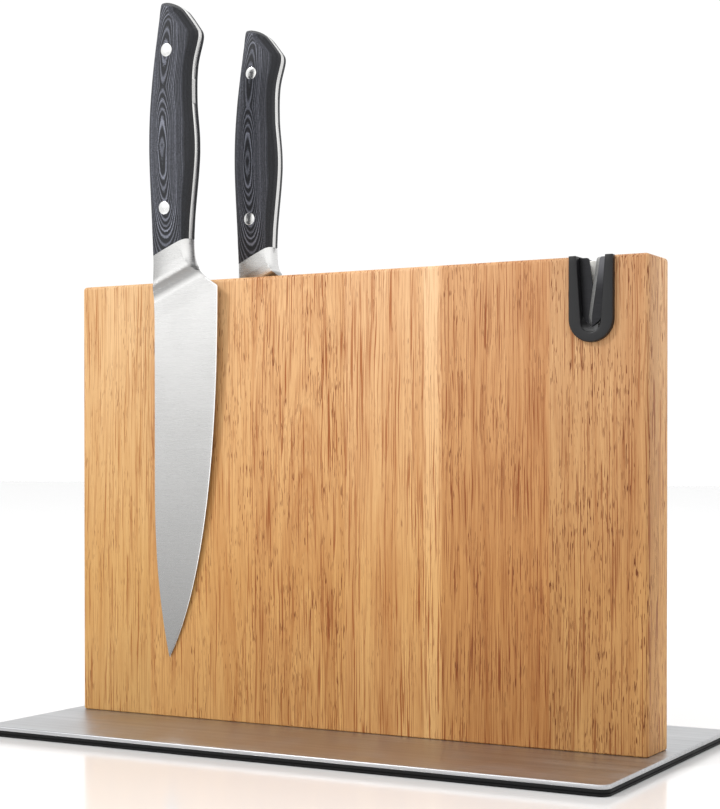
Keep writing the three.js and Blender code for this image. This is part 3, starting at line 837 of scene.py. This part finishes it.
SPINE_SIDE = [(0, 186), (1.5, 206), (0.8, 228), (-0.9, 268), (0.8, 299), (5.8, 333)]
BUTT = [(7.2, 341.1), (10.8, 342.2), (19, 338.2), (27, 328.6)]
BELLY_SIDE = [
    (28.8, 323.4), (25.3, 309), (24.8, 291), (26.5, 264.5), (23.1, 228.5), (23.1, 211), (26.8, 203.4),
]
HEEL = [(39.5, 195.0), (35, 197.6), (29.2, 201.6), (26.8, 203.4)]
# The cutting edge from the tip to the heel, as a Bezier curve.
EDGE = [(9.3, 0), (33.8, 45), (39.5, 123), (39.5, 195)]
EDGE_COLUMNS = 1
RIVETS = {"upper": (12.5, 316.8), "lower": (11.0, 235.6)}
RIVET_DOME = 0.30
# Pairs of height and half thickness along the handle's middle line.
CROWN_MIDDLE = [
    (196, 4.9), (212, 6.5), (226, 7.0), (240, 7.4), (254, 7.65), (268, 7.74),
    (283, 7.62), (298, 7.3), (317, 7.42), (332, 7.2), (344, 6.8),
]
# Where across the handle the crown is highest, and how far it falls off 11 mm beside that.
CROWN_PEAK = [(200, 11.5), (235, 11.5), (266, 10.2), (297, 10.5), (317, 12.0), (342, 15.0)]
CROWN_DROP = [(200, 0.35), (214, 0.8), (239, 1.35), (268, 1.75), (297, 1.5), (326, 1.4)]
FLANK_SLANT = [(205, 1.5), (222, 0.9), (240, 0.56)]
# Pairs of distance below the scales and half thickness.
BOLSTER = [
    (0, 6.5), (4, 6.15), (8, 5.75), (11.5, 5.2), (13.0, 4.85), (13.9, 4.35),
    (15, 3.4), (16.2, 2.5), (17.5, 1.85), (19, 1.35), (21, 0.9), (30, 0.2),
]
# How closely the bolster keeps under the crown, by the same distance.
BOLSTER_LIMIT = [(0, 1.0), (13, 1.0), (20, 0.4)]
# Pairs of height and half thickness along the blade's spine.
BLADE_SPINE = [(0, 0.6), (195, 1.5)]


def spline(points, steps):
    """The uniform Catmull-Rom curve through the points."""
    out = []
    last = len(points) - 1
    for i in range(last):
        p = [np.array(points[min(max(k, 0), last)], float) for k in (i - 1, i, i + 1, i + 2)]
        for step in range(steps):
            t = step / steps
            v0, v1 = (p[2] - p[0]) / 2, (p[3] - p[1]) / 2
            cubic = 2 * p[1] - 2 * p[2] + v0 + v1
            square = -3 * p[1] + 3 * p[2] - 2 * v0 - v1
            out.append(tuple(cubic * t**3 + square * t**2 + v0 * t + p[1]))
    out.append(tuple(float(c) for c in points[-1]))
    return out


def resampled(points, spacing):
    """The same line with its points evenly spaced."""
    points = np.array(points, float)
    steps = np.hypot(*np.diff(points, axis=0).T)
    keep = np.concatenate([[True], steps > 1e-9])
    points, steps = points[keep], steps[steps > 1e-9]
    along = np.concatenate([[0], np.cumsum(steps)])
    count = max(2, int(round(along[-1] / spacing)))
    wanted = np.linspace(0, along[-1], count + 1)
    return np.stack([np.interp(wanted, along, points[:, k]) for k in (0, 1)], 1)


SPLINE_STEPS = 20
handle_spine = spline(SPINE_SIDE, SPLINE_STEPS)
handle_butt = spline([SPINE_SIDE[-1], *BUTT], SPLINE_STEPS)
handle_belly = spline([BUTT[-1], *BELLY_SIDE], SPLINE_STEPS)
handle_line = np.array(handle_spine + handle_butt[1:] + handle_belly[1:])
# The index at which the outline goes over from the spine's side to the belly's.
CORNER = len(handle_spine) - 1 + 3 * SPLINE_STEPS
spine_line = handle_line[: CORNER + 1]
belly_line = handle_line[CORNER:]


def joint_z(x):
    return JOINT["z"] + JOINT["slope"] * (x - JOINT["x"])


def between(at, pairs):
    """The value at a place, between pairs of place and value."""
    return np.interp(at, *zip(*pairs))


def distance_to(line, x, z):
    """Shortest distance from each point to an open line."""
    a, b = line[:-1], line[1:]
    d = b - a
    px, pz = x[..., None] - a[:, 0], z[..., None] - a[:, 1]
    t = np.clip((px * d[:, 0] + pz * d[:, 1]) / np.maximum((d**2).sum(1), 1e-12), 0, 1)
    return np.sqrt((px - t * d[:, 0]) ** 2 + (pz - t * d[:, 1]) ** 2).min(-1)


def soft_min(a, b, width):
    """The smaller of two values, with the change from one to the other rounded."""
    h = np.clip(0.5 + (b - a) / (2 * width), 0, 1)
    return b * (1 - h) + a * h - width * h * (1 - h)


def crown(x, z):
    """Half thickness of bolster and handle: crowned, with a firm edge to the flank on the belly side."""
    face = between(z, CROWN_MIDDLE) - between(z, CROWN_DROP) * ((x - between(z, CROWN_PEAK)) / 11.0) ** 2
    inward = distance_to(belly_line, x, z)
    flank = np.minimum(TANG + 0.05 + 7 * inward, TANG + 2.4 + between(z, FLANK_SLANT) * inward)
    back = TANG + 0.05 + 3.4 * distance_to(spine_line, x, z) ** 0.75
    return np.maximum(soft_min(soft_min(face, flank, 0.15), back, 1.2), TANG + 0.05)


def knife_matrix(knife):
    """Places a knife drawn with its tip at the origin against its face of the board."""
    tip = Vector((knife["x"], knife["side"] * (HALF + TIP_STANDOFF), knife["z"]))
    place = Matrix.Translation(tip * MM)
    lean = Matrix.Rotation(math.radians(-knife["side"] * knife["lean"]), 4, "X")
    tilt = Matrix.Rotation(math.radians(knife["tilt"]), 4, "Y")
    return place @ lean @ tilt @ Matrix.Scale(knife["scale"], 4)


def bezier(points, steps):
    p = np.array(points, float)
    t = np.linspace(0, 1, steps + 1)[:, None]
    return (1 - t) ** 3 * p[0] + 3 * t * (1 - t) ** 2 * p[1] + 3 * t * t * (1 - t) * p[2] + t**3 * p[3]


def blade_spine(count=60):
    """From the tip up the blade's spine and the handle's, in rising order."""
    z = np.linspace(0, 95, count)
    x = 9.3 * (1 - z / 95) ** 2.45
    return np.concatenate([np.stack([x, z], 1), [[0, 186.0]], np.array(handle_spine[1:])])


def crossing(line, start, slope):
    """Where the row z = start + slope x meets an outline that climbs past it."""
    gap = line[:, 1] - start - slope * line[:, 0]
    i = int(np.argmax(gap >= 0))
    if i == 0:
        return line[0]
    t = -gap[i - 1] / (gap[i] - gap[i - 1])
    return line[i - 1] + t * (line[i] - line[i - 1])


def forging_half(x, z, edge_x, edge_gap):
    """Half thickness of blade and bolster. edge_gap is the distance to the cutting edge."""
    spine = between(z, BLADE_SPINE)
    taper = spine + (0.36 - spine) * np.clip(x / edge_x, 0, 1)
    flat = np.minimum(taper, 0.03 + 0.33 * np.clip(edge_gap / 1.1, 0, 1))
    # The distance below the scales, measured square to the joint.
    below = (joint_z(x) - z) * (1 / math.hypot(1, JOINT["slope"]))
    bolster = np.minimum(between(below, BOLSTER), crown(x, z) + (1 - between(below, BOLSTER_LIMIT)) * 4)
    share = np.clip((z - 150) / 20, 0, 1)
    both = -soft_min(-flat, -bolster, 0.35)
    return flat + (both - flat) * share


def forging_mesh():
    """Blade and bolster in rows from tip to joint, with the faces of the ground edge marked."""
    right = np.concatenate([bezier(EDGE, 90), spline_tail()])
    left = blade_spine()
    starts = np.concatenate([
        [0.0, 0.25, 0.6, 1.2, 2.0, 3.0],
        np.linspace(4.5, 165, 62),
        np.linspace(166.2, 188, 34),
        np.linspace(188.4, joint_z(0.0), 60),
    ])
    columns = np.concatenate([
        [0, 0.006, 0.014, 0.03, 0.05, 0.08],
        np.linspace(0.115, 0.885, 34),
        [0.915, 0.94, 0.96, 0.975, 0.988, 1.0],
    ])
    rings = []
    for start in starts:
        slope = JOINT["slope"] * float(np.clip((start - 110) / 70, 0, 1)) ** 1.5
        a, b = crossing(left, start, slope), crossing(right, start, slope)
        if b[0] - a[0] < 0.5:
            b = a + np.array([0.5, 0.0])
        x = a[0] + (b[0] - a[0]) * columns
        z = a[1] + (b[1] - a[1]) * columns
        gap = distance_to(right, x, z)
        y = forging_half(x, z, np.full_like(x, b[0]), gap)
        front = list(zip(x, -y, z))
        back = list(zip(x[::-1], y[::-1], z[::-1]))
        rings.append(front + back)
    verts, faces = loft(rings)
    # The ground edge: the last columns of both sides, along the blade only.
    count, edge = len(rings[0]), len(columns) - 1
    marks = [
        1 if edge - EDGE_COLUMNS <= i <= edge + EDGE_COLUMNS and start < HEEL[0][1] - 10 else 0
        for start in starts[:-1]
        for i in range(count)
    ]
    return verts, faces, marks + [0, 0]


def spline_tail():
    """From the heel up the notch to the belly side of the handle, in rising order."""
    notch = np.array(HEEL[1:])
    belly = np.array(handle_belly[::-1])
    return np.concatenate([notch, belly[1:]])


def above_joint(extra=0.0):
    """The handle's outline above the slanted joint, from its spine end round to its belly end."""
    points = [p for p in handle_line if p[1] > joint_z(p[0]) + extra]
    ends = [crossing(line, joint_z(0.0) + extra, JOINT["slope"]) for line in (handle_line, handle_line[::-1])]
    return np.array([ends[0], *points, ends[1]])


def tang_mesh():
    """The tang reaches 3 mm down into the bolster."""
    outline = above_joint(-3.0)
    bevel = 0.12
    inward = outline.mean(0) - outline
    inner = outline + inward / np.hypot(*inward.T)[:, None] * bevel
    layers = ((inner, -TANG), (outline, -TANG + bevel), (outline, TANG - bevel), (inner, TANG))
    return loft([[(x, y, z) for x, z in points] for points, y in layers])


# The handle's middle line, towards which the rings of a scale step in.
AXIS = np.array([(11.2, 232.0), (12.2, 283.0), (14.2, 322.0)])
INSETS = (0, 0.2, 0.45, 0.62, 0.8, 1.3, 2.0, 2.8, 3.6, 4.3, 4.9, 5.4, 5.8, 6.1, 6.4, 6.8)
INNER_RINGS = 9


def scale_mesh(side):
    """A crowned scale: rings step in from its outline to the handle's middle line."""
    top = above_joint(0.08)
    low = resampled([top[-1], top[0]], 1.0)[1:-1]
    outline = np.concatenate([top, low])
    axis = resampled(AXIS, 1.0)
    nearest = axis[((outline[:, None] - axis[None]) ** 2).sum(-1).argmin(1)]
    reach = np.hypot(*(nearest - outline).T)[:, None]
    toward = (nearest - outline) / reach
    rings = [outline + toward * np.minimum(inset, reach * inset / 9.5) for inset in INSETS]
    start = rings[-1]
    rings += [start + (nearest - start) * k / INNER_RINGS for k in range(1, INNER_RINGS + 1)]
    faces_y = [crown(r[:, 0], r[:, 1]) for r in rings]
    skin = [[(x, side * y, z) for (x, z), y in zip(r, h)] for r, h in zip(rings, faces_y)]
    base = [[(x, side * (TANG + 0.01), z) for x, z in r] for r in (rings[0], *rings[3::4])]
    verts, faces = loft(base[::-1] + skin, caps=False)
    count = len(outline)
    closing = tuple(range(count))[::-1]
    return verts, [*faces, closing]


def rivet_mesh(centre):
    """A pin through the handle whose slightly domed ends follow the crown."""
    steps, radii = 40, (0.9, 1.8, 2.6, 3.1, 3.35, 3.5)
    outer = radii[-1]
    angles = [2 * math.pi * i / steps for i in range(steps)]
    cap = []
    for radius in radii:
        x = np.array([centre[0] + radius * math.cos(a) for a in angles])
        z = np.array([centre[1] + radius * math.sin(a) for a in angles])
        sunk = 0.12 if radius == outer else 0
        cap.append((x, z, crown(x, z) + RIVET_DOME * (1 - (radius / outer) ** 2) - sunk))
    rings = [list(zip(x, -y, z)) for x, z, y in cap] + [list(zip(x, y, z)) for x, z, y in cap[::-1]]
    top = float(crown(*(np.array([c]) for c in centre))[0]) + RIVET_DOME
    ends = [(centre[0], y, centre[1]) for y in (-top, top)]
    return pointed(*loft(rings, caps=False), steps, ends)


def build_knife(word):
    knife = KNIVES[word]
    place = knife_matrix(knife)
    body = f"{word}_knife"
    *forging, marks = forging_mesh()
    tang = tang_mesh()
    marks += [0] * len(tang[1])
    steels = [finishes["blade"], finishes["edge"]]
    steel = new_piece(f"{body}_forging", *joined([forging, tang]), steels, place, marks)
    finish_piece(steel, body, [f"{body}_blade"], 38)

    for half, side in (("outer", knife["side"]), ("inner", -knife["side"])):
        sheets = [finishes[f"laminate_{word}"]]
        cover = new_piece(f"{body}_{half}_laminate", *scale_mesh(side), sheets, place)
        finish_piece(cover, body, [f"{body}_{half}_scale"], 40)
    for name, centre in RIVETS.items():
        pin = new_piece(f"{body}_{name}_pin", *rivet_mesh(centre), [finishes["rivet"]], place)
        finish_piece(pin, body, [f"{body}_{name}_rivet"], 40)


# ---- Frame pieces that keep their CAD shape ----


def paint_frame():
    for name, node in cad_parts.items():
        if "magnet" in name or name.startswith("base_screw"):
            node.data.materials.clear()
            node.data.materials.append(finishes["magnet" if "magnet" in name else "screw"])


# ---- Stage ----

# Name, place, target and size in metres, and power in watts.
LIGHTS = (
    ("key", (-1.2, -1.5, 1.6), (-0.05, 0, 0.14), (0.35, 0.35), 22.0),
    ("top", (0.1, 0.2, 1.7), (0, 0, 0.1), (1.4, 1.0), 9.0),
)
CAMERA_PLACE = (0.4233, -0.7550, 0.1399)
CAMERA_YAW, CAMERA_PITCH = -29.05, -0.612


def build_stage():
    verts, faces = box_mesh((-9000, 9000), (-9000, 9000), (-20, 0))
    ground = new_piece("floor", verts, faces, [finishes["floor"]])

    build_world()
    for name, place, target, size, power in LIGHTS:
        light = bpy.data.lights.new(name, "AREA")
        light.shape, light.energy = "RECTANGLE", power
        light.size, light.size_y = size
        lamp = bpy.data.objects.new(name, light)
        lamp.location = place
        lamp.rotation_euler = (Vector(target) - Vector(place)).to_track_quat("-Z", "Y").to_euler()
        bpy.context.scene.collection.objects.link(lamp)


def build_world():
    """A white studio. It is even behind and to the left. To the front and right it is a little dimmer at
    the ground, brighter above that and dimmer again overhead."""
    world = bpy.data.worlds.new("studio")
    bpy.context.scene.world = world
    world.use_nodes = True
    nodes = Nodes(world.node_tree)
    direction = nodes.tree.nodes.new("ShaderNodeTexCoord").outputs["Generated"]
    facing = nodes.split(nodes.vector("MULTIPLY", direction, (-0.75, 0.8, 0.0)))
    side = nodes.plus(facing[0], facing[1])
    height = nodes.split(direction)[2]
    band = nodes.remap(height, -0.02, 0.16, 0.9, 1.5)
    roof = nodes.remap(height, 0.3, 0.75, 1.0, 0.5)
    dim = nodes.times(band, roof)
    white = nodes.remap(side, -0.3, 0.35)
    inputs = {0: nodes.minus(1.03, dim), 1: white, 2: dim}
    level = nodes.node("ShaderNodeMath", inputs, operation="MULTIPLY_ADD").outputs[0]
    background = nodes.tree.nodes["Background"]
    nodes.put(background.inputs["Color"], (1.0, 1.0, 1.0))
    nodes.put(background.inputs["Strength"], level)


def build_camera():
    camera = bpy.data.cameras.new("camera")
    camera.lens, camera.shift_y = 75.97, 0.0939
    camera.clip_start, camera.clip_end = 0.01, 50.0
    eye = bpy.data.objects.new("camera", camera)
    eye.location = CAMERA_PLACE
    yaw, pitch = math.radians(CAMERA_YAW), math.radians(CAMERA_PITCH)
    aim = Vector((math.sin(yaw) * math.cos(pitch), math.cos(yaw) * math.cos(pitch), math.sin(pitch)))
    eye.rotation_euler = aim.to_track_quat("-Z", "Y").to_euler()
    bpy.context.scene.collection.objects.link(eye)
    bpy.context.scene.camera = eye
    bpy.context.scene.view_settings.view_transform = "Standard"


build_base()
build_board()
build_sharpener()
build_knife("front")
build_knife("rear")
paint_frame()
build_stage()
build_camera()
